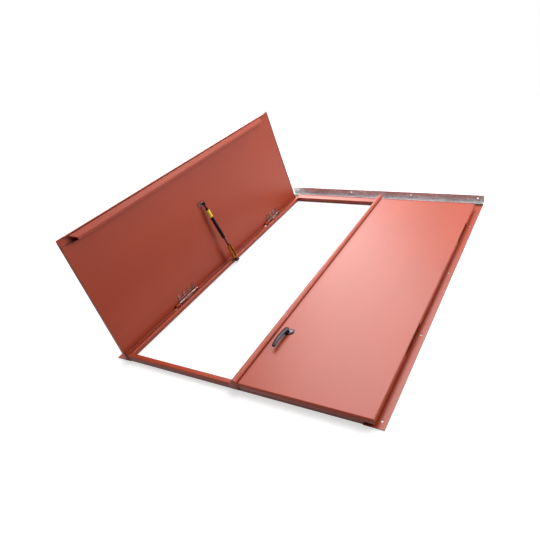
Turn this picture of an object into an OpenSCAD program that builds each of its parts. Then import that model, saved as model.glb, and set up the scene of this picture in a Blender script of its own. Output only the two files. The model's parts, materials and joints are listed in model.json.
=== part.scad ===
// Bulkhead cellar door: a low steel frame that lies on sloped side walls, two leaves
// hinged on its long sides, and a gas spring with a safety sleeve under each leaf.
// X runs across the door, Y from the sill up to the house, Z square to the frame.
// The left leaf is drawn open and the right leaf closed.

/* [Frame] */
// Overall width over the two side flanges
frame_w = 1098; // [900:1:1400]
// How far the side flanges reach in front of the sill
rail_nose = 2.5; // [0.5:0.5:10]
// Width of the flange that lies on the side wall, upstand included
rail_flange_w = 69; // [62:1:90]
// Height of the upstand round the opening
upstand_h = 21.5; // [18:0.5:24]
// Width of the lip turned outwards on top of the side upstands
upstand_lip = 8; // [5:0.5:8]
// Thickness of the frame steel
frame_t = 2.5; // [1.5:0.1:4]
// Inner radius of the folds in the frame and in the leaves
fold_r = 2; // [0.5:0.25:2.25]
// Width of the sill's top
sill_w = 19; // [12:0.5:30]
// Distance from the sill's face to the header's inner face
opening_l = 1366; // [1130:1:1820]
// Width of the header's top
header_w = 44; // [35:0.5:60]
// Width of the header's lower shelf behind its top
shelf_w = 44; // [30:0.5:60]
// Height of the shelf over the base of the frame
shelf_z = 12; // [6:0.5:16]

/* [Frame holes] */
// Radius of the fixing holes
hole_r = 4.5; // [3:0.25:6]
// Distance of the fixing holes from the flange's outer edge
hole_in = 18; // [12:0.5:25]
// Distance of the first hole from the sill's face
hole_first = 26; // [15:1:60]
// Distance between the fixing holes
hole_step = 396; // [250:1:450]
// Number of fixing holes in each side flange
hole_n = 4; // [2:1:4]
// Radius of the drain holes in the sill's top
drain_r = 2.5; // [1.5:0.25:4]
// Distance of the drain holes from the sill's ends
drain_in = 36; // [20:1:120]
// Distance of the drain holes from the sill's back edge
drain_back = 6; // [5:0.5:8]

/* [Header flashing] */
// Length of the flashing
flashing_l = 1106; // [900:1:1420]
// Width of the flange that lies on the header
flashing_flange = 26; // [15:0.5:34]
// Height of the flange against the house wall
flashing_h = 34; // [24:0.5:60]
// Thickness of the flashing sheet
flashing_t = 1.2; // [0.6:0.1:2]
// Number of holes in the wall flange
flashing_hole_n = 4; // [2:1:6]
// Radius of those holes
flashing_hole_r = 3.2; // [2:0.1:5]
// Distance of the outer holes from the flashing's ends
flashing_hole_in = 32.5; // [15:0.5:60]
// Height of the holes over the base of the frame
flashing_hole_z = 30; // [20:0.5:40]

/* [Leaves] */
// How far a closed leaf lies over the header
leaf_over = 24; // [15:1:30]
// Height of a closed leaf's top over the base of the frame
leaf_top = 31; // [29:0.5:36]
// Thickness of the leaf sheet
leaf_t = 2.5; // [1.5:0.1:3]
// Distance of a leaf's hinge side from the frame's outer edge
leaf_inset = 30; // [24:0.5:36]
// Depth of the flange folded down on the hinge side
hinge_flange = 18.4; // [14:0.1:18.4]
// Depth of the lip folded down at the sill and at the header
leaf_lip = 4.5; // [3.5:0.1:4.5]
// Depth of the flange folded down along the free edge
edge_flange = 13; // [8:0.5:16]
// Distance that this flange keeps from the sill and from the header
edge_clear = 5; // [4:0.5:12]
// Gap between the two leaves at the seam
seam_gap = 5.5; // [5:0.25:12]
// Distance of the seam from the middle of the frame
seam_off = 0.75; // [-5:0.25:5]
// Angle at which an open leaf stands
open_angle = 97.8; // [80:0.1:105]

/* [Seam bead] */
// Width of the rounded bead on the right leaf
bead_w = 24; // [16:0.5:34]
// Height of the bead over the leaf
bead_h = 13; // [8:0.5:18]
// How far the bead runs on past the leaf's end at the header
bead_over = 22; // [5:0.5:24]
// Thickness of the bead's sheet
bead_t = 1.5; // [1:0.1:2.5]

/* [Rain channel] */
// Distance of the channel's outer edge from the left leaf's free edge
channel_in = 5; // [4:0.5:12]
// Depth of that edge under the leaf
channel_rise = 13; // [8:0.5:16]
// Depth of the channel's floor under the leaf
channel_h = 24; // [18:0.5:26]
// Width of the sloped face between edge and floor
channel_slope = 18; // [10:0.5:30]
// Width of the floor
channel_floor = 10; // [5:0.5:20]
// Width of the foot that lies on the leaf
channel_foot = 8; // [4:0.5:15]
// Thickness of the channel's sheet
channel_t = 1.5; // [1:0.1:2]
// Distance of the foot's front end from the sill's face
channel_front = 7; // [4:1:20]
// Length over which the channel's front end is cut to a slope
channel_mitre = 45; // [10:1:80]
// How far the channel stops short of the leaf's end at the header
channel_short = 95; // [40:1:200]

/* [Hinges] */
// Distance of the hinge pin from the leaf's outer edge
pin_in = 11; // [9:0.5:12]
// Depth of the hinge pin under the leaf's top
pin_down = 9; // [8.5:0.25:10]
// Radius of the hinge pin
pin_r = 3; // [2:0.1:3.5]
// Thickness of the pin's heads
pin_head = 2; // [1:0.1:3]
// Radius of a knuckle
knuckle_r = 5.5; // [5:0.1:6]
// Clearance of the pin in its knuckles
pin_clear = 0.3; // [0.2:0.05:0.5]
// Length of a hinge
hinge_l = 114; // [90:1:160]
// Number of knuckles in a hinge
knuckle_n = 3; // [3:2:7]
// Gap between two knuckles
knuckle_gap = 0.8; // [0.3:0.1:1.5]
// Thickness of the hinge plates
plate_t = 2; // [1.5:0.1:2]
// Width of the hinge plate on the frame
base_w = 17; // [12:0.5:18]
// Reach of the strap's fingers from the pin
strap_w = 32; // [24:1:50]
// Number of fingers on a strap
finger_n = 4; // [2:1:6]
// Width of a finger
finger_w = 10; // [6:0.5:14]
// Radius of the rivet holes in the plates
rivet_r = 1.6; // [1:0.1:2]
// Distance of the front hinges from the sill's face
hinge_front = 393; // [200:1:500]
// Distance of the rear hinges from the header
hinge_back = 233; // [150:1:450]
// Length of the guard that stands on the frame in front of a hinge
guard_l = 25; // [15:1:35]
// Gap between guard and hinge
guard_gap = 4; // [3.5:0.5:8]
// Distance from the guard to the front end of the window in the leaf's flange
window_clear = 16; // [5:1:30]

/* [Gas springs] */
// How far the lower ball lies behind the middle of the opening
foot_off = 27; // [-60:1:80]
// How far the upper ball lies in front of the lower one
head_back = 27; // [0:1:40]
// Distance of the lower ball from the upstand's inner face
foot_in = 13; // [12:0.5:20]
// Height of the lower ball over the base of the frame
foot_z = 13.5; // [13:0.25:14]
// Distance of the upper ball from the leaf's outer edge
head_in = 314; // [290:1:350]
// Depth of the upper ball under the leaf
head_down = 15; // [14.5:0.25:16]
// Radius of the spring's tube
tube_r = 8; // [6:0.25:8.5]
// Length of the tube
tube_l = 160; // [130:1:160]
// Radius of the rod
rod_r = 4; // [3:0.25:4.5]
// Length of the rod
rod_l = 200; // [170:1:205]
// Clearance of the rod in the tube
rod_clear = 0.4; // [0.3:0.05:0.8]
// Inner radius of the safety sleeve
sleeve_r = 9.5; // [9:0.1:10]
// Thickness of the safety sleeve
sleeve_t = 1.5; // [1:0.1:2]
// Length of the safety sleeve
sleeve_l = 70; // [55:1:75]
// Length of the plain band on the tube
band_l = 38; // [20:1:60]

/* [Handle] */
// Distance of the handle's shaft from the right leaf's free edge
handle_in = 62; // [50:1:90]
// Distance of the handle's shaft from the sill's face
handle_y = 281; // [180:1:400]
// Radius of the shaft
shaft_r = 6; // [4:0.25:8]
// Clearance of the shaft in the escutcheon and in the leaf
shaft_clear = 0.3; // [0.2:0.05:0.6]
// Length of the lever from the shaft to its tip
lever_l = 100; // [70:1:120]
// Width of the lever at the shaft
lever_w = 19; // [16:0.5:24]
// Width of the lever at its tip
lever_tip = 14; // [9:0.5:18]
// Thickness of the lever
lever_t = 11; // [8:0.5:13]
// Height of the arch that the lever makes
lever_arch = 4; // [0:0.5:8]
// Radius of the escutcheon's round ends
rose_r = 15; // [13:0.5:18]
// How much longer than wide the escutcheon is
rose_reach = 13; // [6:0.5:20]
// Height of the escutcheon's dome
rose_h = 6; // [4:0.5:7]
// Half the width of the latch cam
cam_r = 9; // [8:0.5:12]
// How far the latch cam's middle line runs on past the right leaf's free edge
cam_over = 11; // [6:0.5:16]
// Thickness of the latch cam
cam_t = 3.5; // [2:0.25:4]

/* [Hidden] */
$fn = 48;

PRIMER = "#8c4034";
ZINC = "#b9bcc0";
STEEL = "#9a9a98";
BLACK = "#202022";
YELLOW = "#e0b03a";
ORANGE = "#dc8a28";
CHROME = "#d8dadc";

half_w = frame_w / 2;
leaf_l = opening_l + leaf_over;
opening_x = half_w - rail_flange_w;
leaf_x = half_w - leaf_inset;
leaf_under = leaf_top - leaf_t;
left_edge = seam_off - seam_gap / 2;
right_edge = seam_off + seam_gap / 2;
pin_x = leaf_x - pin_in;
pin_z = leaf_top - pin_down;
bore_r = pin_r + pin_clear;
top_back = opening_l + header_w;
frame_l = top_back + shelf_w;
// The folds of the header and of the leaves are tighter where the sheet has less room
header_r = min(fold_r, (upstand_h - shelf_z - frame_t) / 2 - 0.25);
leaf_r = min(fold_r, leaf_lip - leaf_t);
hinge_rear = opening_l - hinge_back;
foot_y = opening_l / 2 + foot_off;
head_y = foot_y - head_back;
foot_x = opening_x - foot_in;
head_x = leaf_x - head_in;
head_z = leaf_under - head_down;
// Upper ball of a left spring when its leaf stands at an angle
function head_at(a) = [-pin_x + (pin_x - head_x) * cos(a) - (head_z - pin_z) * sin(a), head_y,
                       pin_z + (pin_x - head_x) * sin(a) + (head_z - pin_z) * cos(a)];
function reach(a) = head_at(a) - [-foot_x, foot_y, foot_z];
function spring_l(a) = norm(reach(a));
socket_r = 7;
socket_w = 12;
socket_ball = 8.6;
neck_r = 4;
neck_l = 16;
head_neck = 30;
ball_r = 4.4;
ball_gap = 0.3;
stud_r = 2.4;
stud_gap = 2.5;
tab_t = 3;
tab_l = 27;
nut_r = 4.6;
nut_t = 4;
tube_edge = 2;
tube_groove = 12;
cam_z = 1;

// Profiles

// A flat stretch of a sheet's profile between two corners
module flat(from, to) {
    translate(from)
        square(to - from);
}

// A bend in a sheet's profile: a quarter ring that rounds a corner at the origin, between
// one leg along x and one along y
module bend(t, r, turn) {
    rotate(turn)
        translate([r + t, r + t])
            intersection() {
                difference() {
                    circle(r + t);
                    circle(r);
                }
                translate([-r - t, -r - t])
                    square(r + t);
            }
}

// A rectangle with its two upper corners rounded
module round_top(w, h, r) {
    square([w, h - r]);
    translate([r, h - 2 * r])
        square([w - 2 * r, 2 * r]);
    for (x = [r, w - r])
        translate([x, h - r])
            circle(r);
}

// A strip along x with round ends
module slot(r, reach) {
    for (x = [0, reach])
        translate([x, 0])
            circle(r);
    flat([0, -r], [reach, r]);
}

// A profile drawn across the frame, run from one Y to another
module along_y(from, to) {
    translate([0, to, 0])
        rotate([90, 0, 0])
            linear_extrude(to - from)
                children();
}

// A profile drawn in Y and Z, run from one X to another
module along_x(from, to) {
    translate([from, 0, 0])
        rotate([90, 0, 90])
            linear_extrude(to - from)
                children();
}

// A round bar along Y
module bar_y(x, z, r, from, to) {
    along_y(from, to)
        translate([x, z])
            circle(r);
}

// Puts a piece of the left leaf, drawn closed, where the open leaf has it
module opened() {
    translate([-pin_x, 0, pin_z])
        rotate([0, -open_angle, 0])
            translate([pin_x, 0, -pin_z])
                children();
}

// Puts a left piece on the right side
module right_side() {
    mirror([1, 0, 0])
        children();
}

// Frame

// Side flange, upstand and lip, folded from one sheet
module rail_profile() {
    b = fold_r + frame_t;
    flat([-half_w, 0], [-opening_x - b, frame_t]);
    translate([-opening_x, 0])
        bend(frame_t, fold_r, 90);
    flat([-opening_x - frame_t, b], [-opening_x, upstand_h - b]);
    translate([-opening_x, upstand_h])
        bend(frame_t, fold_r, 180);
    flat([-opening_x - upstand_lip, upstand_h - frame_t], [-opening_x - b, upstand_h]);
}

// Guard in front of a hinge: a bent plate whose top stays inside the turn of the leaf
module guard(y) {
    leg_x = -pin_x + knuckle_r - plate_t;
    top_z = pin_z + knuckle_r / 2;
    front = y - hinge_l / 2 - guard_gap - guard_l;
    along_y(front, front + guard_l) {
        flat([leg_x, frame_t], [leg_x + plate_t, top_z - plate_t - 1]);
        translate([leg_x + plate_t, top_z])
            bend(plate_t, 1, 180);
        flat([-pin_x - knuckle_r + 1, top_z - plate_t], [leg_x - 1, top_z]);
    }
}

module rail_left() {
    color(PRIMER)
        difference() {
            union() {
                along_y(0, top_back)
                    rail_profile();
                for (ends = [[-rail_nose, 0], [top_back, frame_l]])
                    along_y(ends[0], ends[1])
                        flat([-half_w, 0], [-opening_x, frame_t]);
                for (y = [hinge_front, hinge_rear])
                    guard(y);
            }
            for (i = [0 : hole_n - 1])
                translate([-half_w + hole_in, hole_first + i * hole_step, -1])
                    cylinder(h = frame_t + 2, r = hole_r);
        }
}

module left_rail() {
    rail_left();
}

module right_rail() {
    right_side()
        rail_left();
}

module sill() {
    b = fold_r + frame_t;
    color(PRIMER)
        difference() {
            along_x(-opening_x, opening_x) {
                flat([0, 0], [frame_t, upstand_h - b]);
                translate([0, upstand_h])
                    bend(frame_t, fold_r, 270);
                flat([b, upstand_h - frame_t], [sill_w, upstand_h]);
            }
            for (side = [-1, 1])
                translate([side * (opening_x - drain_in), sill_w - drain_back, upstand_h / 2])
                    cylinder(h = upstand_h, r = drain_r);
        }
}

// Inner face, top, step, shelf and back leg, folded from one sheet
module header() {
    b = header_r + frame_t;
    step_y = header_w - frame_t;
    back_y = header_w + shelf_w;
    color(PRIMER)
        along_x(-opening_x, opening_x)
            translate([opening_l, 0]) {
                flat([0, 0], [frame_t, upstand_h - b]);
                translate([0, upstand_h])
                    bend(frame_t, header_r, 270);
                flat([b, upstand_h - frame_t], [header_w - b, upstand_h]);
                translate([header_w, upstand_h])
                    bend(frame_t, header_r, 180);
                flat([step_y, shelf_z - frame_t + b], [header_w, upstand_h - b]);
                translate([step_y, shelf_z - frame_t])
                    bend(frame_t, header_r, 0);
                flat([step_y + b, shelf_z - frame_t], [back_y - b, shelf_z]);
                translate([back_y, shelf_z])
                    bend(frame_t, header_r, 180);
                flat([back_y - frame_t, 0], [back_y, shelf_z - b]);
            }
}

module header_flashing() {
    b = 2 * flashing_t;
    step = (flashing_l - 2 * flashing_hole_in) / (flashing_hole_n - 1);
    color(ZINC)
        difference() {
            along_x(-flashing_l / 2, flashing_l / 2)
                translate([frame_l, shelf_z]) {
                    flat([-flashing_flange, 0], [-b, flashing_t]);
                    bend(flashing_t, flashing_t, 90);
                    flat([-flashing_t, b], [0, flashing_h]);
                }
            for (i = [0 : flashing_hole_n - 1])
                translate([i * step - flashing_l / 2 + flashing_hole_in, frame_l + 2, flashing_hole_z])
                    rotate([90, 0, 0])
                        cylinder(h = flashing_t + 4, r = flashing_hole_r);
        }
}

// Hinges

knuckle_l = (hinge_l - (knuckle_n - 1) * knuckle_gap) / knuckle_n;
function knuckle_from(y, i) = y - hinge_l / 2 + i * (knuckle_l + knuckle_gap);
function finger_y(y, i) = y - hinge_l / 2 + finger_w + i * (hinge_l - 2 * finger_w) / (finger_n - 1);

// The half of a left hinge that stands on the frame, with the outer knuckles
module hinge_base(y) {
    leg_x = -pin_x + knuckle_r - plate_t;
    color(STEEL)
        difference() {
            union() {
                for (i = [0 : 2 : knuckle_n - 1]) {
                    bar_y(-pin_x, pin_z, knuckle_r, knuckle_from(y, i), knuckle_from(y, i) + knuckle_l);
                    along_y(knuckle_from(y, i), knuckle_from(y, i) + knuckle_l)
                        flat([leg_x, frame_t + 2 * plate_t], [leg_x + plate_t, pin_z]);
                }
                along_y(y - hinge_l / 2, y + hinge_l / 2) {
                    flat([leg_x, frame_t + 2 * plate_t], [leg_x + plate_t, pin_z - knuckle_r - 2]);
                    translate([leg_x, frame_t])
                        bend(plate_t, plate_t, 0);
                    flat([leg_x + 2 * plate_t, frame_t], [leg_x + base_w, frame_t + plate_t]);
                }
            }
            bar_y(-pin_x, pin_z, pin_r, y - hinge_l, y + hinge_l);
            for (i = [0 : finger_n - 1])
                translate([leg_x + base_w - 5, finger_y(y, i), frame_t - 1])
                    cylinder(h = plate_t + 2, r = rivet_r);
        }
}

// The half of a left hinge that is fixed under the leaf: the inner knuckles, a strip along
// the pin and rounded fingers with rivet holes
module hinge_strap(y) {
    strip_x = -pin_x + knuckle_r + 1;
    tip_x = -pin_x + strap_w - finger_w / 2;
    color(STEEL)
        difference() {
            union() {
                for (i = [1 : 2 : knuckle_n - 2]) {
                    bar_y(-pin_x, pin_z, knuckle_r, knuckle_from(y, i), knuckle_from(y, i) + knuckle_l);
                    along_y(knuckle_from(y, i), knuckle_from(y, i) + knuckle_l)
                        flat([-pin_x, leaf_under - plate_t], [strip_x + 1, leaf_under]);
                }
                translate([0, 0, leaf_under - plate_t])
                    linear_extrude(plate_t) {
                        flat([strip_x, y - hinge_l / 2], [strip_x + 7, y + hinge_l / 2]);
                        for (i = [0 : finger_n - 1])
                            translate([strip_x + finger_w / 2, finger_y(y, i)])
                                slot(finger_w / 2, tip_x - strip_x - finger_w / 2);
                    }
            }
            bar_y(-pin_x, pin_z, bore_r, y - hinge_l, y + hinge_l);
            for (i = [0 : finger_n - 1])
                translate([tip_x, finger_y(y, i), leaf_under - plate_t - 1])
                    cylinder(h = plate_t + 2, r = rivet_r);
        }
}

module hinge_pin(y) {
    end = hinge_l / 2;
    color(CHROME) {
        bar_y(-pin_x, pin_z, pin_r, y - end - pin_head, y + end + pin_head);
        for (from = [y - end - pin_head, y + end])
            bar_y(-pin_x, pin_z, pin_r + 1.4, from, from + pin_head);
    }
}

// Leaves

// A block with its four upper edges rounded
module crowned(w, l, h, r) {
    intersection() {
        along_y(0, l)
            round_top(w, h, r);
        along_x(0, w)
            round_top(l, h, r);
    }
}

// A closed leaf sheet on the left: one tray with folded edges. The hinge side goes deepest,
// the free edge keeps clear of sill and header, and the ends have a short lip.
module leaf_sheet(free_x) {
    w = leaf_x + free_x;
    front = sill_w + edge_clear;
    back = opening_l - edge_clear;
    low = leaf_top - edge_flange;
    high = leaf_top - leaf_lip;
    color(PRIMER)
        difference() {
            union() {
                translate([-leaf_x, 0, leaf_top - hinge_flange])
                    difference() {
                        crowned(w, leaf_l, hinge_flange, leaf_r + leaf_t);
                        translate([leaf_t, leaf_t, -1])
                            crowned(w - 2 * leaf_t, leaf_l - 2 * leaf_t, hinge_flange + 1 - leaf_t, leaf_r);
                        translate([leaf_t, -1, -1])
                            cube([w, leaf_l + 2, hinge_flange - leaf_lip + 1]);
                    }
                along_x(free_x - leaf_t, free_x)
                    polygon([[front, high], [front + high - low, low],
                             [back - high + low, low], [back, high]]);
            }
            for (y = [hinge_front, hinge_rear])
                translate([-leaf_x - 1, window_from(y), leaf_top - hinge_flange - 1])
                    cube([leaf_t + leaf_r + 1, y + hinge_l / 2 + 5 - window_from(y),
                          hinge_flange - leaf_t + 1]);
        }
}

function window_from(y) = y - hinge_l / 2 - guard_gap - guard_l - window_clear;

module left_leaf_sheet() {
    opened()
        leaf_sheet(left_edge);
}

module right_leaf_sheet() {
    right_side()
        difference() {
            leaf_sheet(-right_edge);
            translate([-right_edge - handle_in, handle_y, leaf_under - 1])
                cylinder(h = leaf_t + 2, r = shaft_r + shaft_clear);
        }
}

// Section of the rain channel: x counts from the leaf's free edge, y from its underside
module channel_profile() {
    k = (channel_h - channel_rise) / channel_slope;
    wall = channel_t * sqrt(1 + k * k);
    knee = channel_in + channel_slope;
    leg = knee + channel_floor;
    top = channel_h - channel_t;
    polygon([[channel_in, channel_rise], [knee, channel_h], [leg, channel_h], [leg, channel_t],
             [leg + channel_foot, channel_t], [leg + channel_foot, 0], [leg - channel_t, 0],
             [leg - channel_t, top], [channel_in + (top - channel_rise + wall) / k, top],
             [channel_in, channel_rise - wall]]);
}

// Open channel under the left leaf that catches what runs through the seam
module left_rain_channel() {
    slope_y = sill_w + edge_clear;
    slope_z = leaf_under - channel_t - 0.5;
    deep_z = leaf_under - channel_h - 1;
    color(PRIMER)
        opened()
            difference() {
                along_y(channel_front, leaf_l - channel_short)
                    translate([left_edge, leaf_under])
                        rotate(180)
                            channel_profile();
                along_x(left_edge - leaf_x, left_edge)
                    polygon([[0, slope_z], [slope_y, slope_z],
                             [slope_y + channel_mitre, deep_z], [0, deep_z]]);
            }
}

module bead_profile(r, h) {
    translate([0, h - r])
        circle(r);
    translate([-r, 0])
        square([2 * r, h - r]);
}

// Rounded bead that covers the seam, closed at both ends
module seam_bead() {
    color(PRIMER)
        translate([right_edge + bead_w / 2, 0, leaf_top])
            difference() {
                along_y(0, leaf_l + bead_over)
                    intersection() {
                        bead_profile(bead_w / 2, bead_h);
                        translate([-bead_w, 0])
                            square([2 * bead_w, bead_h + 1]);
                    }
                along_y(bead_t, leaf_l + bead_over - bead_t)
                    translate([0, -1])
                        bead_profile(bead_w / 2 - bead_t, bead_h - bead_t + 1);
            }
}

// Gas springs, drawn on the left with the lower ball as origin and X towards the upper ball

module spring_axis(a) {
    to = reach(a);
    translate([-foot_x, foot_y, foot_z])
        rotate([0, -atan2(to.z, to.x), 0])
            rotate([0, 0, asin(to.y / norm(to))])
                children();
}

module bar_x(r, from, to) {
    translate([from, 0, 0])
        rotate([0, 90, 0])
            cylinder(h = to - from, r = r);
}

// A turned piece: x of the outline is the radius, y runs along the spring
module turned_x(from) {
    translate([from, 0, 0])
        rotate([0, 90, 0])
            rotate_extrude()
                children();
}

// A ball socket with rounded rims, its axis along Z
module socket_body() {
    intersection() {
        translate([0, 0, -socket_w / 2])
            cylinder(h = socket_w, r = socket_r);
        sphere(socket_ball);
    }
}

module socket_bore() {
    translate([0, socket_w / 2 + 1, 0])
        rotate([90, 0, 0])
            cylinder(h = socket_w, r = ball_r + ball_gap);
}

module spring_rod(a) {
    color(STEEL)
        spring_axis(a)
            difference() {
                union() {
                    rotate([90, 0, 0])
                        socket_body();
                    bar_x(rod_r + 1, 0, neck_l - 3);
                    bar_x(rod_r, 0, rod_l);
                }
                socket_bore();
            }
}

// Safety sleeve: a tube with an end wall on the rod and a slot along its open side
module safety_sleeve(a) {
    color(ORANGE)
        spring_axis(a)
            difference() {
                bar_x(sleeve_r + sleeve_t, neck_l, neck_l + sleeve_l);
                bar_x(sleeve_r, neck_l + 2, neck_l + sleeve_l + 1);
                bar_x(rod_r, 0, neck_l + sleeve_l);
                translate([neck_l + 2, 0, -sleeve_r - sleeve_t - 1])
                    linear_extrude(sleeve_r) {
                        translate([rod_r + 1, 0])
                            circle(rod_r + 1);
                        flat([rod_r + 1, -rod_r - 1], [sleeve_l, rod_r + 1]);
                    }
            }
}

// Half outline of the tube: rolled edges, a rolled groove and a neck
module tube_outline() {
    flat([0, 0], [tube_r - tube_edge, tube_l]);
    flat([0, tube_edge], [tube_r, tube_l - tube_edge]);
    for (y = [tube_edge, tube_l - tube_edge])
        translate([tube_r - tube_edge, y])
            circle(tube_edge);
    flat([0, tube_l - 1], [neck_r, tube_l + head_neck]);
    flat([0, tube_l - 1], [neck_r + 1.5, tube_l + 5]);
}

module spring_tube(a) {
    end = spring_l(a) - head_neck;
    color(BLACK)
        spring_axis(a) {
            difference() {
                turned_x(end - tube_l)
                    difference() {
                        tube_outline();
                        translate([tube_r + 1.2, tube_groove])
                            circle(2);
                    }
                bar_x(rod_r + rod_clear, end - tube_l - 1, end - 12);
            }
            translate([end + head_neck, 0, 0])
                socket_body();
        }
}

module spring_band(a) {
    end = spring_l(a) - head_neck;
    color(YELLOW)
        spring_axis(a)
            difference() {
                bar_x(tube_r + 0.6, end - 4 - band_l, end - 4);
                bar_x(tube_r, end - 5 - band_l, end - 3);
            }
}

// Bracket of the lower ball: a bent tab on the rail's upstand, with ball stud and nut
module spring_foot() {
    tab_y = foot_y + socket_w / 2 + stud_gap;
    back_y = tab_y + tab_t;
    b = 1.5 * tab_t;
    color(STEEL) {
        translate([0, 0, 3.5])
            linear_extrude(upstand_h - 7) {
                flat([-opening_x, back_y - tab_l], [-opening_x + tab_t, back_y - b]);
                translate([-opening_x, back_y])
                    bend(tab_t, tab_t / 2, 270);
                flat([-opening_x + b, tab_y], [-foot_x, back_y]);
            }
        bar_y(-foot_x, foot_z, 7, tab_y, back_y);
        bar_y(-foot_x, foot_z, stud_r, foot_y, back_y + nut_t + 1.5);
        translate([-foot_x, back_y + nut_t, foot_z])
            rotate([90, 0, 0])
                cylinder(h = nut_t, r = nut_r, $fn = 6);
        translate([-foot_x, foot_y, foot_z])
            rotate([90, 0, 0])
                sphere(ball_r);
    }
}

// Plate of the upper ball under the leaf, drawn on the closed leaf. Its stud ends short of
// the socket, which swings past it.
module spring_head() {
    plate_z = leaf_under - tab_t;
    stud_z = head_z + socket_w / 2 + 1.5;
    color(STEEL)
        translate([-head_x, head_y, 0]) {
            difference() {
                translate([0, -tab_l / 2, plate_z])
                    linear_extrude(tab_t)
                        rotate(90)
                            slot(9, tab_l);
                for (side = [-1, 1])
                    translate([0, side * tab_l / 2, plate_z - 1])
                        cylinder(h = tab_t + 2, r = rivet_r);
            }
            translate([0, 0, stud_z])
                cylinder(h = plate_z - stud_z, r1 = stud_r + 0.6, r2 = ball_r + 0.8);
        }
}

// Handle on the right leaf

module at_handle() {
    translate([right_edge + handle_in, handle_y, 0])
        children();
}

// Half outline of the escutcheon's dome
module rose_outline() {
    rise = rose_h - 1.8;
    dome_r = (rose_r * rose_r + rise * rise) / (2 * rise);
    intersection() {
        translate([0, rose_h - dome_r])
            circle(dome_r);
        square([rose_r, rose_h]);
    }
}

// Domed oval escutcheon with a collar round the shaft
module handle_rose() {
    color(CHROME)
        at_handle()
            translate([0, 0, leaf_top])
                difference() {
                    rotate(12) {
                        for (x = [0, rose_reach])
                            translate([x, 0, 0])
                                rotate_extrude()
                                    rose_outline();
                        along_x(0, rose_reach) {
                            rose_outline();
                            mirror([1, 0])
                                rose_outline();
                        }
                        cylinder(h = rose_h + 1, r1 = shaft_r + 5.5, r2 = shaft_r + 3.5);
                    }
                    translate([0, 0, -1])
                        cylinder(h = rose_h + 4, r = shaft_r + shaft_clear);
                }
}

lever_z = leaf_top + rose_h + 1.8 + lever_t / 2;
// Middle of the lever at a share s of its length, and its half width there
function lever_at(s) = [-3 * sin(180 * s), -s * (lever_l - lever_tip / 2), lever_z + lever_arch * sin(140 * s)];
function lever_r(s) = (lever_w + (lever_tip - lever_w) * s) / 2;

module lever_section(s) {
    translate(lever_at(s))
        scale([1, 1, lever_t / 2 / lever_r(s)])
            sphere(lever_r(s), $fn = 24);
}

// Flat-oval lever that widens to the shaft and arches over the leaf
module handle_lever() {
    steps = 6;
    color(CHROME)
        at_handle() {
            translate([0, 0, cam_z + cam_t])
                cylinder(h = lever_z - cam_z - cam_t, r = shaft_r);
            for (i = [0 : steps - 1])
                hull() {
                    lever_section(i / steps);
                    lever_section((i + 1) / steps);
                }
        }
}

module latch_cam() {
    color(STEEL)
        at_handle()
            translate([0, 0, cam_z])
                linear_extrude(cam_t)
                    rotate(180)
                        slot(cam_r, handle_in + cam_over);
}

left_rail();
right_rail();
sill();
header();
header_flashing();
hinge_base(hinge_front);  // left_front_hinge_base
hinge_base(hinge_rear);  // left_rear_hinge_base
right_side() hinge_base(hinge_front);  // right_front_hinge_base
right_side() hinge_base(hinge_rear);  // right_rear_hinge_base
hinge_pin(hinge_front);  // left_front_hinge_pin
hinge_pin(hinge_rear);  // left_rear_hinge_pin
right_side() hinge_pin(hinge_front);  // right_front_hinge_pin
right_side() hinge_pin(hinge_rear);  // right_rear_hinge_pin
spring_foot();  // left_spring_foot
right_side() spring_foot();  // right_spring_foot
left_leaf_sheet();
left_rain_channel();
opened() hinge_strap(hinge_front);  // left_front_hinge_strap
opened() hinge_strap(hinge_rear);  // left_rear_hinge_strap
opened() spring_head();  // left_spring_head
right_leaf_sheet();
seam_bead();
right_side() hinge_strap(hinge_front);  // right_front_hinge_strap
right_side() hinge_strap(hinge_rear);  // right_rear_hinge_strap
right_side() spring_head();  // right_spring_head
handle_rose();
handle_lever();
latch_cam();
spring_rod(open_angle);  // left_spring_rod
safety_sleeve(open_angle);  // left_safety_sleeve
spring_tube(open_angle);  // left_spring_tube
spring_band(open_angle);  // left_spring_band
right_side() spring_rod(0);  // right_spring_rod
right_side() safety_sleeve(0);  // right_safety_sleeve
right_side() spring_tube(0);  // right_spring_tube
right_side() spring_band(0);  // right_spring_band
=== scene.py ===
# %% [markdown]
# Bulkhead cellar door: a lesson in dressing a sheet-metal part.
# The steel frame, the two leaves, the hinges, the gas springs and the handle come finished
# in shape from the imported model. What is left for Blender is what the eye reads as real:
# primer paint with a soft sheen, zinc with its spangle, plated hinges, folded lips,
# rivets, clips and welds, and the light that a photographer would set for it.

# %% Load the frame
import json
import math

import bmesh
import bpy
from mathutils import Matrix, Vector


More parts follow.
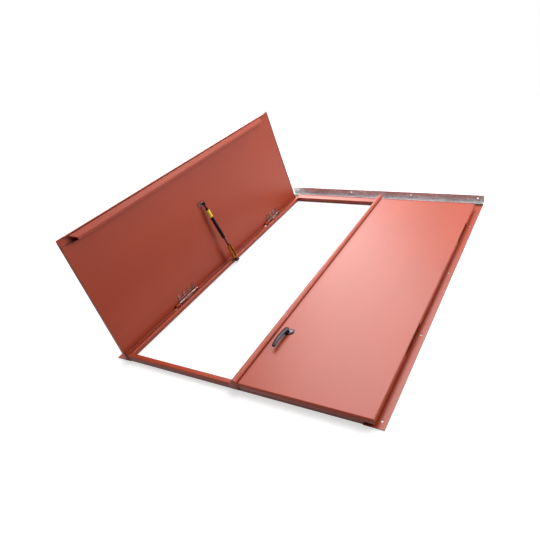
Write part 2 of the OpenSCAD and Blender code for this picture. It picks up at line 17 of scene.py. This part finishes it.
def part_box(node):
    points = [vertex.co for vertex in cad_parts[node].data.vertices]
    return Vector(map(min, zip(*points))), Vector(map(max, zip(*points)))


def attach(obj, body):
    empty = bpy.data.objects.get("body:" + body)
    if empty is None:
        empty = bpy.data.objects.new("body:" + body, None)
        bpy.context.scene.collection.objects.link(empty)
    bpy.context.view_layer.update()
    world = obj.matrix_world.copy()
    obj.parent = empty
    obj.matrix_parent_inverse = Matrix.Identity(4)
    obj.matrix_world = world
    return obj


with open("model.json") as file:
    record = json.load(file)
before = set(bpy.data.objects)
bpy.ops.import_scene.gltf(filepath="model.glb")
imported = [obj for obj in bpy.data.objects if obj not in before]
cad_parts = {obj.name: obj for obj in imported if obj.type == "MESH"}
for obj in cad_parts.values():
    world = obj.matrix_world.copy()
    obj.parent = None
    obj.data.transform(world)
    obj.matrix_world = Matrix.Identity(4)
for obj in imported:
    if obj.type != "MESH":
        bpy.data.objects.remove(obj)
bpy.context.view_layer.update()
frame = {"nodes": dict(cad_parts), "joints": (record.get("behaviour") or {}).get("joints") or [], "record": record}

# %% [markdown]
# Sizes first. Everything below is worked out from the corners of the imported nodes, in
# metres, so that a change of the model carries through. Only sizes of small trim are
# written as numbers here.

# %% Where things are
MM = 0.001


def low(node):
    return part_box(node)[0]


def high(node):
    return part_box(node)[1]


def middle(node):
    return (low(node) + high(node)) / 2


joints = {joint["name"]: joint for joint in frame["joints"]}
left_pin = Vector(joints["left_leaf_hinge"]["pos_m"])
open_angle = math.radians(-joints["left_leaf_hinge"]["range_deg"][0])
leaf_top = high("right_leaf_sheet").z
print("leaf top at", round(leaf_top / MM, 2), "mm")
print("left leaf stands open by", round(math.degrees(open_angle), 1), "degrees")

# %% [markdown]
# The camera is the one solved from the photograph: its place, its turn and its focal
# length. The picture is a crop, so the view is shifted a little off the lens axis.
# Blender could also find a camera by hand, with the photo as a background image; the
# solved one is used here.

# %% Camera
IMAGE_SIDE = 540
FOCAL_PX = 502.16
CENTRE_PX = (321.98, 251.04)
SENSOR_MM = 36.0
CAMERA_PLACE = (0.99744, -0.87860, 1.20183)
CAMERA_TURN_DEG = (59.348, 9.525, 26.083)

camera_data = bpy.data.cameras.new("camera")
camera_data.sensor_width = SENSOR_MM
camera_data.lens = FOCAL_PX / IMAGE_SIDE * SENSOR_MM
camera_data.shift_x = (IMAGE_SIDE / 2 - CENTRE_PX[0]) / IMAGE_SIDE
camera_data.shift_y = (CENTRE_PX[1] - IMAGE_SIDE / 2) / IMAGE_SIDE
camera = bpy.data.objects.new("camera", camera_data)
camera.location = CAMERA_PLACE
camera.rotation_euler = [math.radians(angle) for angle in CAMERA_TURN_DEG]
bpy.context.scene.collection.objects.link(camera)
bpy.context.scene.camera = camera
print("lens", round(camera_data.lens, 2), "mm")

# %% [markdown]
# Shader maths reads best as plain expressions. This small class wraps one output socket
# and overloads the operators, so that `1 - mask * 0.4` adds the Math nodes by itself.
# The alternative, linking every Math node by hand, hides the idea in plumbing.

# %% Shader expressions
class Value:
    """A number that varies over a surface: one output socket of a node tree."""

    def __init__(self, tree, socket):
        self.tree = tree
        self.socket = socket

    def math(self, operation, other):
        node = self.tree.nodes.new("ShaderNodeMath")
        node.operation = operation
        plug(self.tree, node.inputs[0], self)
        plug(self.tree, node.inputs[1], other)
        return Value(self.tree, node.outputs[0])

    def __add__(self, other):
        return self.math("ADD", other)

    def __mul__(self, other):
        return self.math("MULTIPLY", other)

    def __rsub__(self, other):
        return (self * -1.0) + other

    __radd__ = __add__
    __rmul__ = __mul__

    def between(self, start, end):
        """0 below start, 1 above end, smooth in between."""
        node = self.tree.nodes.new("ShaderNodeMapRange")
        node.interpolation_type = "SMOOTHSTEP"
        plug(self.tree, node.inputs["Value"], self)
        node.inputs["From Min"].default_value = start
        node.inputs["From Max"].default_value = end
        return Value(self.tree, node.outputs["Result"])


def plug(tree, socket, item):
    """Sets a socket from a number, a colour or another socket."""
    if isinstance(item, Value):
        tree.links.new(item.socket, socket)
    elif isinstance(item, (tuple, list)) and len(item) == 3 and socket.type == "RGBA":
        socket.default_value = (*item, 1.0)
    else:
        socket.default_value = item


# %% [markdown]
# A finish is one material: a Principled shader with what varies plugged into it. The
# classes below keep the node tree and make any node in one call, settings first and
# inputs after, which is the order Blender needs when a setting changes the sockets. The
# world's light is a node tree as well, so it shares the first class.

# %% Node graphs and finishes
class Graph:
    """A node tree that is built by plain calls."""

    def __init__(self, tree):
        self.tree = tree

    def node(self, kind, settings=None, out=0, **inputs):
        made = self.tree.nodes.new(kind)
        for name, value in (settings or {}).items():
            setattr(made, name, value)
        for name, value in inputs.items():
            plug(self.tree, made.inputs[name.replace("_", " ")], value)
        return Value(self.tree, made.outputs[out])

    def shaders(self, kind, first, second, **inputs):
        """Adds or mixes two shaders, whose sockets share one name."""
        made = self.node(kind, **inputs)
        free = [socket for socket in made.socket.node.inputs if socket.type == "SHADER"]
        plug(self.tree, free[0], first)
        plug(self.tree, free[1], second)
        return made

    def seen_by_eye(self):
        """1 where the camera, a mirror or a glass in the picture looks at it."""
        seen = self.node("ShaderNodeLightPath", out="Is Camera Ray")
        for ray in ("Is Glossy Ray", "Is Transmission Ray"):
            seen = seen.math("MAXIMUM", self.node("ShaderNodeLightPath", out=ray))
        return seen


class Finish(Graph):
    """A material under construction."""

    def __init__(self, name):
        self.material = bpy.data.materials.new(name)
        self.material.use_nodes = True
        super().__init__(self.material.node_tree)
        self.shader = self.tree.nodes["Principled BSDF"]
        self.place = self.node("ShaderNodeTexCoord", out="Object")

    def noise(self, scale, detail=4.0, rough=0.5, stretch=(1, 1, 1)):
        where = self.node("ShaderNodeMapping", Vector=self.place, Scale=stretch)
        return self.node("ShaderNodeTexNoise", {"noise_dimensions": "3D"}, out="Fac",
                         Vector=where, Scale=scale, Detail=detail, Roughness=rough)

    def blend(self, mask, first, second):
        mixed = self.tree.nodes.new("ShaderNodeMix")
        mixed.data_type = "RGBA"
        plug(self.tree, mixed.inputs["Factor"], mask)
        plug(self.tree, mixed.inputs[6], first)
        plug(self.tree, mixed.inputs[7], second)
        return Value(self.tree, mixed.outputs[2])

    # A mask for painted shade: it finds the corners and gaps where shadow falls.
    def corners(self, reach):
        """1 deep in a corner, 0 on an open face; reach is in mm."""
        openness = self.node("ShaderNodeAmbientOcclusion", {"samples": 8}, out="AO",
                             Distance=reach * MM)
        return (1 - openness).between(0.15, 0.62)

    def bump(self, height, strength, distance):
        return self.node("ShaderNodeBump", out="Normal", Height=height, Strength=strength,
                         Distance=distance)

    def set(self, **inputs):
        for name, value in inputs.items():
            plug(self.tree, self.shader.inputs[name.replace("_", " ")], value)


def linear(red, green, blue):
    """A colour given as 0 to 255 in a picture, as Blender's linear numbers."""
    def one(part):
        part = part / 255
        return part / 12.92 if part <= 0.04045 else ((part + 0.055) / 1.055) ** 2.4
    return (one(red), one(green), one(blue))


# %% [markdown]
# The primer is the finish that fills the picture. On the real door it is a baked
# red-oxide paint: even in colour, with a faint orange peel from the spray gun and a broad
# soft sheen. It could be a flat colour with some gloss, but then the large sheets look
# like plastic. Here slow noise clouds the colour by a few percent, finer noise changes
# the roughness, and a very low bump gives the peel. An Ambient Occlusion node finds the
# folds and gaps of the sheet metal, and there the colour goes down to a deep brown: this
# is painted shade, which darkens the corners where shadow falls.

# %% Primer paint
def make_primer():
    paint = Finish("primer_paint")
    clouds = paint.noise(2.2, detail=3.0)
    streaks = paint.noise(7.0, detail=3.0, stretch=(1.0, 0.25, 1.0))
    peel = paint.noise(420.0, detail=2.0)
    specks = paint.noise(160.0, detail=2.0).between(0.66, 0.74)
    tone = (clouds * 0.6 + streaks * 0.4).between(0.32, 0.68)
    colour = paint.blend(tone, linear(168, 62, 35), linear(176, 67, 38))
    colour = paint.blend(specks * 0.25, colour, linear(142, 46, 26))
    # Painted shade: the colour goes down to a deep brown in the corners and gaps that the mask finds.
    colour = paint.blend(paint.corners(20) * 0.92, colour, linear(52, 10, 8))
    paint.set(Base_Color=colour, Roughness=0.33 + clouds * 0.10 + specks * 0.06,
              Normal=paint.bump(peel, 0.10, 0.0006), Specular_IOR_Level=0.40)
    return paint.material


PRIMER = make_primer()
print("made", PRIMER.name)

# %% [markdown]
# Galvanised sheet has spangles: flat crystals of zinc, each turned a little differently,
# so that each catches the light in its own way. Voronoi cells give the crystals; the
# cell's own random colour sets both its grey and its roughness.

# %% Galvanised sheet
def make_zinc():
    zinc = Finish("galvanised_sheet")
    cells = zinc.node("ShaderNodeTexVoronoi", {"feature": "F1"}, out="Color",
                      Vector=zinc.place, Scale=130.0, Randomness=1.0)
    grey = zinc.node("ShaderNodeSeparateColor", out="Red", Color=cells)
    stain = zinc.noise(9.0, detail=4.0)
    colour = zinc.blend(grey, linear(196, 194, 197), linear(228, 227, 230))
    colour = zinc.blend(stain.between(0.45, 0.75) * 0.35, colour, linear(166, 161, 161))
    zinc.set(Base_Color=colour, Metallic=0.62,
             Roughness=0.30 + grey * 0.14 + stain * 0.08,
             Normal=zinc.bump(grey, 0.08, 0.0004))
    return zinc.material


ZINC = make_zinc()
print("made", ZINC.name)

# %% [markdown]
# The small hardware is plated steel. Plating dulls unevenly, so one function makes all
# the steels: a bright colour, a duller one that gathers in clouds, fine brush marks along
# one axis, and a roughness of its own. Metal turns white at a grazing look, which would
# bleach the dark ones, so their specular tint holds that edge back.

# %% Plated steels
ALONG_DOOR = (1, 0.06, 1)


def make_steel(name, bright, dull, rough, brush=(1, 1, 1), edge=1.0):
    steel = Finish(name)
    grime = steel.noise(34.0, detail=5.0, rough=0.6)
    lines = steel.noise(300.0, detail=2.0, stretch=brush)
    colour = steel.blend(grime.between(0.38, 0.72), bright, dull)
    steel.set(Base_Color=colour, Metallic=1.0, Specular_Tint=(edge, edge, edge),
              Roughness=rough + grime * 0.16 + lines * 0.08,
              Normal=steel.bump(lines, 0.12, 0.0004))
    return steel.material


PIN_STEEL = make_steel("pin_steel", linear(214, 206, 202), linear(160, 150, 144), 0.18,
                       brush=ALONG_DOOR)
ROD_STEEL = make_steel("rod_steel", linear(74, 52, 50), linear(44, 32, 32), 0.16, edge=0.3)
CHROME = make_steel("handle_chrome", linear(50, 48, 52), linear(36, 34, 37), 0.02, edge=0.2)
SATIN_CHROME = make_steel("escutcheon_satin", linear(96, 90, 98), linear(66, 60, 66), 0.14,
                          edge=0.5)
print("made the steels")

# %% [markdown]
# The hinges are welded to the door before it is painted, so the primer's overspray lies
# on their plates, and the plating shines through where the barrels rub. A finish of two
# layers does this with one mask: thin paint in drifts over brushed metal. The gaps between
# the barrels are darkened with painted shade, found in the same way as in the primer.

# %% Hinges under overspray
def make_hinge_steel():
    hinge = Finish("hinge_steel")
    drift = hinge.noise(46.0, detail=4.0, rough=0.6).between(0.40, 0.62)
    lines = hinge.noise(260.0, detail=2.0, stretch=ALONG_DOOR)
    paint = 0.45 + drift * 0.50
    colour = hinge.blend(paint, linear(190, 158, 150), linear(128, 54, 38))
    # Painted shade: the colour goes down to a deep brown in the gaps between the barrels and plates.
    colour = hinge.blend(hinge.corners(8) * 0.85, colour, linear(44, 16, 12))
    hinge.set(Base_Color=colour, Metallic=0.85 - paint * 0.55,
              Roughness=0.24 + paint * 0.20, Specular_IOR_Level=0.4,
              Normal=hinge.bump(lines * 0.5 + drift * 0.5, 0.15, 0.0004))
    return hinge.material


HINGE_STEEL = make_hinge_steel()
print("made", HINGE_STEEL.name)

# %% [markdown]
# The gas spring is painted black, with a yellow band and an orange safety sleeve. All
# three are thin coats over metal: a soft gloss, a little dust, and scuffs where parts rub.

# %% Coats on the spring
def make_coat(name, colour, worn, rough, scuff, shine):
    coat = Finish(name)
    cloud = coat.noise(18.0, detail=4.0)
    marks = coat.noise(60.0, detail=5.0, rough=0.65).between(0.60, 0.78)
    coat.set(Base_Color=coat.blend(marks * scuff, colour, worn),
             Roughness=rough + cloud * 0.16 + marks * 0.12, Specular_IOR_Level=shine,
             Normal=coat.bump(coat.noise(500.0, detail=2.0), 0.06, 0.0004))
    return coat.material


BLACK_COAT = make_coat("spring_black", linear(9, 7, 8), linear(30, 22, 20), 0.20,
                       scuff=0.3, shine=0.12)
YELLOW_BAND = make_coat("band_yellow", linear(255, 240, 78), linear(222, 192, 60), 0.42,
                        scuff=0.3, shine=0.25)
ORANGE_COAT = make_coat("sleeve_orange", linear(222, 136, 44), linear(168, 92, 34), 0.34,
                        scuff=0.5, shine=0.3)
print("made the coats")

# %% [markdown]
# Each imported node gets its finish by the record's slot name, so that a node added to the
# model later is dressed too. The mesh of a node is never touched: only its material slots.

# %% Dress the nodes
FINISHES = {"primer": PRIMER, "galvanised": ZINC, "hinge_steel": HINGE_STEEL,
            "pin_steel": PIN_STEEL, "rod_steel": ROD_STEEL, "sleeve_plastic": ORANGE_COAT,
            "tube_black": BLACK_COAT, "band_yellow": YELLOW_BAND, "handle_chrome": CHROME}
slots = {part["node"]: part["material_slot"] for part in frame["record"]["subparts"]}
for name, node in frame["nodes"].items():
    node.data.materials.clear()
    node.data.materials.append(SATIN_CHROME if name == "handle_rose" else FINISHES[slots[name]])
print("dressed", len(slots), "nodes")

# %% [markdown]
# Small pieces come next: lips, rivets, clips and weld beads. Each starts as a bmesh, gets
# a finish, a slot and the body that carries it. Pieces of the left leaf are easier to
# place on the closed leaf, where everything is square, so they are built closed and then
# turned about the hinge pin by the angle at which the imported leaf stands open.

# %% Helpers for pieces
LEFT_OPEN = (Matrix.Translation(left_pin) @ Matrix.Rotation(-open_angle, 4, "Y")
             @ Matrix.Translation(-left_pin))
EDGE_DEG = 30
SHARP_DEG = 35


def prism(outline, depth):
    """A bmesh: a closed outline of points in mm, pushed out by a vector in mm."""
    draft = bmesh.new()
    face = draft.faces.new([draft.verts.new(Vector(point) * MM) for point in outline])
    pushed = bmesh.ops.extrude_face_region(draft, geom=[face])
    moved = [item for item in pushed["geom"] if isinstance(item, bmesh.types.BMVert)]
    bmesh.ops.translate(draft, verts=moved, vec=Vector(depth) * MM)
    return draft


def turned(draft, profile, place, axis=(0, 0, 1), steps=16):
    """Adds a turned shape: pairs of radius and height in mm, spun about an axis at a place."""
    before = set(draft.verts)
    chain = [draft.verts.new((radius * MM, 0, height * MM)) for radius, height in profile]
    links = [draft.edges.new(pair) for pair in zip(chain, chain[1:])]
    bmesh.ops.spin(draft, geom=chain + links, cent=(0, 0, 0), axis=(0, 0, 1), dvec=(0, 0, 0),
                   angle=math.tau, steps=steps, use_merge=True, use_duplicate=False)
    added = [vert for vert in draft.verts if vert not in before]
    bmesh.ops.remove_doubles(draft, verts=added, dist=0.01 * MM)
    added = [vert for vert in draft.verts if vert not in before]
    stand = Vector(axis).to_track_quat("Z", "Y").to_matrix().to_4x4()
    bmesh.ops.transform(draft, matrix=Matrix.Translation(Vector(place) * MM) @ stand, verts=added)


def softened(draft, width):
    """Rounds every edge that turns by more than a set angle; width is in mm."""
    sharp = [edge for edge in draft.edges
             if len(edge.link_faces) == 2 and edge.calc_face_angle() > math.radians(EDGE_DEG)]
    bmesh.ops.bevel(draft, geom=sharp, offset=width * MM, affect="EDGES", segments=2,
                    profile=0.5, material=-1, clamp_overlap=True)


def finished(name, draft, body, slot, turn=None):
    """Turns a bmesh into a piece of the door that rides on a body."""
    if turn is not None:
        bmesh.ops.transform(draft, matrix=turn, verts=draft.verts)
    bmesh.ops.recalc_face_normals(draft, faces=draft.faces)
    mesh = bpy.data.meshes.new(name)
    draft.to_mesh(mesh)
    draft.free()
    mesh.shade_smooth()
    mesh.set_sharp_from_angle(angle=math.radians(SHARP_DEG))
    mesh.materials.append(FINISHES[slot])
    piece = bpy.data.objects.new(name, mesh)
    bpy.context.scene.collection.objects.link(piece)
    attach(piece, body)
    print("made", name, "with", len(mesh.polygons), "faces")


# %% [markdown]
# The front edge of each leaf is folded down over the face of the sill, which keeps rain
# out and closes the corner under the leaf. The fold leaves the leaf's round edge at 45
# degrees and hangs in front of the sill. A straight profile pushed out along the edge is
# enough, with its corners bevelled so that the bends catch light.

# %% Front lips
LIP_DEPTH = 16.5
LIP_OUT = 1.5
LIP_SHEET = 1.2
LIP_BEND = 0.4
EDGE_GAP = 0.1
TOP = leaf_top / MM
LIP_PROFILE = [(-LIP_OUT, LIP_DEPTH), (-LIP_OUT, 4.4), (1.1, 1.8), (1.7, 3.2),
               (LIP_SHEET - LIP_OUT, 5.2), (LIP_SHEET - LIP_OUT, LIP_DEPTH)]


def front_lip(start, end):
    """The lip from one side to the other: pairs of y and depth under the leaf's top."""
    draft = prism([(start, y, TOP - depth) for y, depth in LIP_PROFILE], (end - start, 0, 0))
    softened(draft, LIP_BEND)
    return draft


SIDE = high("right_leaf_sheet").x / MM - EDGE_GAP
SEAM = low("right_leaf_sheet").x / MM
TAB_LEFT, TAB_RIGHT = SEAM - 10, SEAM + 28
TAB_CLEAR = 4
finished("left_leaf_front_lip", front_lip(-SIDE, TAB_LEFT - TAB_CLEAR), "left_leaf", "primer",
         LEFT_OPEN)
finished("right_leaf_front_lip", front_lip(SEAM + EDGE_GAP, SIDE), "right_leaf", "primer")

# %% [markdown]
# The bead over the seam ends in a flat tab that is folded down over the sill. Its outline
# follows the bead's round back, so the arc is worked out from the bead's own box.

# %% Tab at the front of the seam bead
TAB_FOOT = 2.2
TAB_FRONT = -2.45
TAB_SHEET = 2.35
TAB_BEND = 0.5
TAB_OVER = 0.5
ARC_STEPS = 18
bead_low, bead_high = low("seam_bead") / MM, high("seam_bead") / MM
bead_r = (bead_high.x - bead_low.x) / 2
bead_x = bead_low.x + bead_r
bead_z = bead_high.z - bead_r
tab_r = bead_r + TAB_OVER
left_shoulder, right_shoulder = bead_z - 6, bead_z - 3
arc = [(bead_x + tab_r * math.cos(turn), bead_z + tab_r * math.sin(turn))
       for turn in (math.pi * step / ARC_STEPS for step in range(ARC_STEPS + 1))]
foot = [(TAB_LEFT, TAB_FOOT), (TAB_RIGHT, TAB_FOOT), (TAB_RIGHT, right_shoulder)]
rim = foot + arc + [(TAB_LEFT, left_shoulder)]
draft = prism([(x, TAB_FRONT, z) for x, z in rim], (0, TAB_SHEET, 0))
softened(draft, TAB_BEND)
finished("seam_bead_tab", draft, "right_leaf", "primer")

# %% [markdown]
# Rivet heads hold the hinge plates and the spring brackets. A head is a low dome, turned
# from six points. All the heads that one body carries are one piece, because nobody
# moves them apart, and because one piece is cheaper than sixteen.

# %% Rivets
DOME = [(0, 1.5), (1.5, 1.35), (2.6, 0.8), (3.0, 0.0), (3.0, -0.4), (0, -0.4)]
DOWN = (0, 0, -1)
FINGERS = 4
FROM_END = 10
FROM_EDGE = 5
HINGE_PLATE = 2
BRACKET_PLATE = 3
BRACKET_END = 9


def finger_places(node):
    """Where the fingers of a hinge plate are along the door, in mm."""
    first, last = low(node).y / MM + FROM_END, high(node).y / MM - FROM_END
    return [first + (last - first) * step / (FINGERS - 1) for step in range(FINGERS)]


frame_rivets = bmesh.new()
for side, sign in (("left", -1), ("right", 1)):
    for end in ("front", "rear"):
        node = f"{side}_{end}_hinge_base"
        inner = min(abs(low(node).x), abs(high(node).x)) / MM + FROM_EDGE
        for y in finger_places(node):
            turned(frame_rivets, DOME, (sign * inner, y, low(node).z / MM + HINGE_PLATE))
finished("hinge_base_rivets", frame_rivets, "frame", "hinge_steel")

SIDES = (("left", -1, LEFT_OPEN), ("right", 1, None))
strap, head = "right_front_hinge_strap", "right_spring_head"
strap_x, strap_z = low(strap).x / MM + FROM_EDGE, high(strap).z / MM - HINGE_PLATE
head_x, head_z = middle(head).x / MM, high(head).z / MM - BRACKET_PLATE
for side, sign, turn in SIDES:
    leaf_rivets = bmesh.new()
    for end in ("front", "rear"):
        for y in finger_places(f"{side}_{end}_hinge_strap"):
            turned(leaf_rivets, DOME, (sign * strap_x, y, strap_z), DOWN)
    for y in (low(head).y / MM + BRACKET_END, high(head).y / MM - BRACKET_END):
        turned(leaf_rivets, DOME, (sign * head_x, y, head_z), DOWN)
    finished(f"{side}_leaf_rivets", leaf_rivets, f"{side}_leaf", "hinge_steel", turn)

# %% [markdown]
# Each ball socket of a gas spring is kept on its ball by a round wire clip, which sits in a
# groove of the socket. A ring is a small circle spun about the socket's axis.

# %% Spring clips
WIRE_R = 0.6
CLIP_R = 7.2
WIRE_STEPS, CLIP_STEPS = 8, 24
RING = [(CLIP_R + WIRE_R * math.cos(turn), WIRE_R * math.sin(turn))
        for turn in (math.tau * step / WIRE_STEPS for step in range(WIRE_STEPS + 1))]
ALONG, UP = (0, 1, 0), (0, 0, 1)
foot_ball = Vector(joints["right_spring_pivot"]["pos_m"]) / MM
head_ball = Vector((head_x, middle(head).y / MM, foot_ball.z))
for side, sign, turn in SIDES:
    foot_clip = bmesh.new()
    turned(foot_clip, RING, (sign * foot_ball.x, foot_ball.y, foot_ball.z), ALONG, CLIP_STEPS)
    finished(f"{side}_foot_clip", foot_clip, f"{side}_rod", "rod_steel")
    head_clip = bmesh.new()
    turned(head_clip, RING, (sign * head_ball.x, head_ball.y, head_ball.z), UP, CLIP_STEPS)
    finished(f"{side}_head_clip", head_clip, f"{side}_tube", "rod_steel", turn)

# %% [markdown]
# The frame is welded where the sill and the header meet the rails. A weld shows as a
# short bead with ripples, one for each dab of the torch. A rod turned from a wavy outline
# and sunk into the corner is all that is needed.

# %% Weld beads
WELD_R = 1.8
RIPPLE = 0.35
RIPPLES = 7
WELD_STEPS = 56
WELD_FOOT = 0.8
WELD_SHORTER = 2
weld_high = high("sill").z / MM - WELD_SHORTER
wave = [(WELD_R + RIPPLE * math.cos(math.tau * RIPPLES * step / WELD_STEPS),
         weld_high * step / WELD_STEPS) for step in range(WELD_STEPS + 1)]
corner_x = high("sill").x / MM
beads = bmesh.new()
for y in (high("sill").y / MM, low("header").y / MM):
    for x in (-corner_x, corner_x):
        turned(beads, [(0, 0)] + wave + [(0, weld_high)], (x, y, WELD_FOOT), steps=12)
finished("frame_welds", beads, "frame", "primer")

# %% [markdown]
# The rain channel is held to the left leaf by a rivet near each of its ends.

# %% Channel rivets
CHANNEL_X, CHANNEL_Z = -30, 4.5
FRONT_END, REAR_END = 68, 55
channel = "left_rain_channel"
channel_rivets = bmesh.new()
for y in (low(channel).y / MM + FRONT_END, high(channel).y / MM - REAR_END):
    turned(channel_rivets, DOME, (CHANNEL_X, y, CHANNEL_Z), DOWN)
finished("rain_channel_rivets", channel_rivets, "left_leaf", "primer", LEFT_OPEN)

# %% [markdown]
# The floor is a wide pale sheet. It is not part of the object, so it is staged. A product
# photograph has a ground that burns out to white while a trace of shadow stays. More
# light would do it, and would bleach the paint. Instead the eye sees white paper with a
# little glow added, so that only real shadow falls below white, and far from the door
# the paper runs out into plain white. The light that the paper throws back on the object
# is that of a darker sheet, which keeps the undersides and the front faces deep.

# %% Floor
FLOOR_SIDE = 60.0
FLOOR_BELOW = 0.5 * MM
PAPER_GLOW = 0.55
PAPER_SEEN = (0.60, 0.60, 0.60)
PAPER_UNSEEN = (0.30, 0.30, 0.30)
DOOR_CENTRE_Y = 0.7
FADE_FROM, FADE_TO = 1.5, 2.8
WHITE = (1.0, 1.0, 1.0)
floor_mesh = bpy.data.meshes.new("floor")
draft = bmesh.new()
bmesh.ops.create_grid(draft, x_segments=1, y_segments=1, size=FLOOR_SIDE / 2)
bmesh.ops.translate(draft, verts=draft.verts, vec=(0, 0, -FLOOR_BELOW))
draft.to_mesh(floor_mesh)
draft.free()
floor = bpy.data.objects.new("floor", floor_mesh)
bpy.context.scene.collection.objects.link(floor)

paper = Finish("floor_paper")
paper.set(Base_Color=PAPER_SEEN, Roughness=0.9)
shade = paper.node("ShaderNodeBsdfDiffuse", Color=PAPER_UNSEEN)
glow = paper.node("ShaderNodeEmission", Color=WHITE, Strength=PAPER_GLOW)
matt = Value(paper.tree, paper.shader.outputs[0])
bright = paper.shaders("ShaderNodeAddShader", matt, glow)
beside = paper.node("ShaderNodeMapping", Vector=paper.place, Location=(0, -DOOR_CENTRE_Y, 0))
away = paper.node("ShaderNodeVectorMath", {"operation": "LENGTH"}, out="Value")
plug(paper.tree, away.socket.node.inputs[0], beside)
white = paper.node("ShaderNodeEmission", Color=WHITE, Strength=1.0)
bright = paper.shaders("ShaderNodeMixShader", bright, white,
                       Fac=away.between(FADE_FROM, FADE_TO))
shown = paper.shaders("ShaderNodeMixShader", shade, bright, Fac=paper.seen_by_eye())
plug(paper.tree, paper.tree.nodes["Material Output"].inputs["Surface"], shown)
floor_mesh.materials.append(paper.material)
print("floor is", FLOOR_SIDE, "m wide")

# %% [markdown]
# Light: a dim world that is brighter towards the wall side, a tall soft box behind the
# door and a square one to its right. The tall one stands where a mirror on the closed
# leaf would look from the camera, all the way from the leaf's front edge to its back
# edge, so it lays one broad sheen over the leaf. A smaller lamp would leave a hot spot
# instead. The square one rakes over the inner face of the open leaf from the far right,
# so that the leaf grows darker towards the viewer and the gas spring throws a soft
# shadow, as in the photograph. A small hard lamp overhead adds the sparkle on the lever.

# %% World
BRIGHT_SIDE = Vector((-0.25, 0.80, 0.55)).normalized()
DIM, BRIGHT = 0.08, 0.46
world = bpy.data.worlds.new("studio")
bpy.context.scene.world = world
world.use_nodes = True
world.node_tree.nodes.clear()
sky = Graph(world.node_tree)
direction = sky.node("ShaderNodeTexCoord", out="Generated")
towards = sky.node("ShaderNodeVectorMath", {"operation": "DOT_PRODUCT"}, out="Value")
plug(sky.tree, towards.socket.node.inputs[0], direction)
towards.socket.node.inputs[1].default_value = BRIGHT_SIDE
level = DIM + (BRIGHT - DIM) * towards.between(-0.7, 1.0)
lighting = sky.node("ShaderNodeBackground", Color=WHITE, Strength=level)
backdrop = sky.node("ShaderNodeBackground", Color=WHITE, Strength=1.0)
either = sky.shaders("ShaderNodeMixShader", lighting, backdrop, Fac=sky.seen_by_eye())
end = sky.tree.nodes.new("ShaderNodeOutputWorld")
plug(sky.tree, end.inputs["Surface"], either)


# %% Lamps
def softbox(name, place, aim, width, height, radiance, roll=0.0):
    """A soft box whose face is `radiance` times as bright as white paper."""
    lamp = bpy.data.lights.new(name, "AREA")
    lamp.shape = "RECTANGLE"
    lamp.size = width
    lamp.size_y = height
    lamp.energy = radiance * math.pi * width * height
    box = bpy.data.objects.new(name, lamp)
    facing = (Vector(aim) - Vector(place)).to_track_quat("-Z", "Y").to_matrix()
    rolled = facing @ Matrix.Rotation(math.radians(roll), 3, "Z")
    box.matrix_world = Matrix.Translation(place) @ rolled.to_4x4()
    box.visible_camera = False
    bpy.context.scene.collection.objects.link(box)


DOOR_MIDDLE = (0.1, 0.7, 0.0)
OPEN_LEAF_MIDDLE = (-0.5, 0.8, 0.25)
softbox("behind", (-1.55, 3.6, 2.8), DOOR_MIDDLE, width=2.3, height=5.0,
        radiance=6.4, roll=28)
softbox("right", (2.0, 2.7, 1.9), OPEN_LEAF_MIDDLE, width=2.0, height=2.0, radiance=5.9)
softbox("spark", (-1.0, 1.4, 3.0), DOOR_MIDDLE, width=0.3, height=0.3, radiance=50.0)
print("lamps set")

# %% [markdown]
# Last, the colours are shown as they are mixed, without a film look.

# %% Finish
bpy.context.scene.view_settings.view_transform = "Standard"
